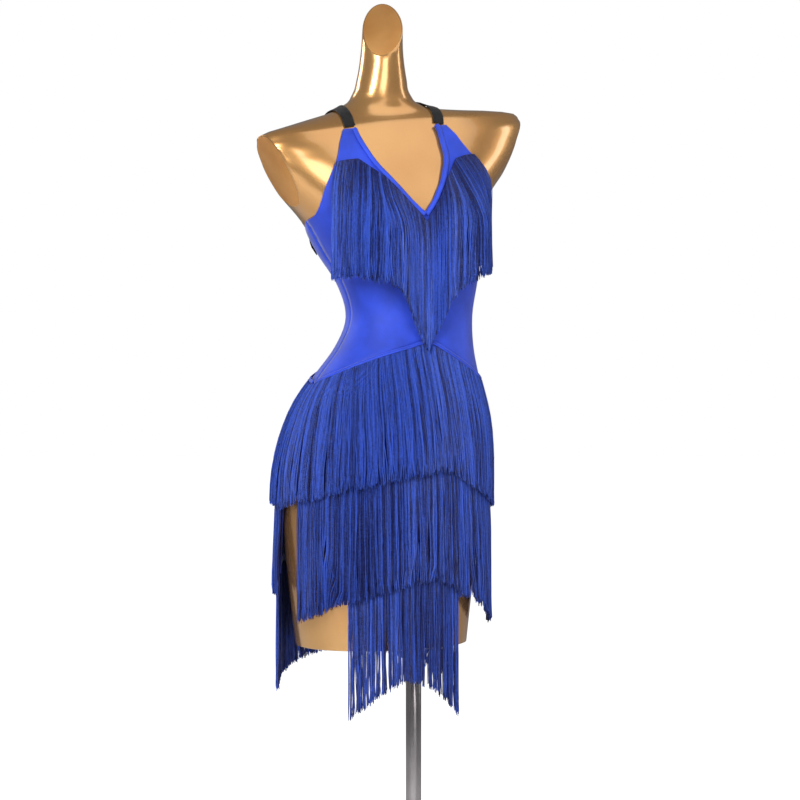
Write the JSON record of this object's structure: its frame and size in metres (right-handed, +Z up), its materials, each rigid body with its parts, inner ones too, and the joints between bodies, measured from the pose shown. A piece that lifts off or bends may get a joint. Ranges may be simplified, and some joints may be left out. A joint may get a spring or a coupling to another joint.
{
  "type": "latin dance dress on a dress form and stand",
  "caption": "Sleeveless fringed latin dance dress with a V neck and crossed elastic back straps, worn on a glossy limbless dress form on a round-based pole stand.",
  "frame": {"origin": "centre of the base plate's underside, on the floor under the pole", "axes": "+Z up; the dress faces -Y, so its wearer's right side is at -X"},
  "size_m": [0.4652, 0.36, 1.6027],
  "materials": {
    "gold_lacquer": "glossy metallic gold lacquer over fibreglass",
    "stand_steel": "satin steel",
    "stretch_fabric": "smooth matte stretch jersey with a soft sheen",
    "fringe_threads": "silky twisted chainette threads",
    "black_elastic": "ribbed matte elastic webbing"
  },
  "bodies": {
    "root": {"dress_form": "gold_lacquer", "stand_flange": "stand_steel", "stand_pole": "stand_steel", "stand_socket": "stand_steel", "stand_base": "stand_steel", "bodice_front": "stretch_fabric", "bodice_back": "stretch_fabric", "skirt_front": "stretch_fabric", "skirt_back": "stretch_fabric", "neck_binding_right": "stretch_fabric", "neck_binding_left": "stretch_fabric", "hip_band_front": "stretch_fabric", "hip_band_back": "stretch_fabric", "strap_right": "black_elastic", "strap_left": "black_elastic", "bust_fringe": "fringe_threads", "front_fringe_1": "fringe_threads", "front_fringe_2": "fringe_threads", "front_fringe_3": "fringe_threads", "back_fringe_1": "fringe_threads", "back_fringe_2": "fringe_threads", "back_fringe_3": "fringe_threads"}
  },
  "joints": []
}
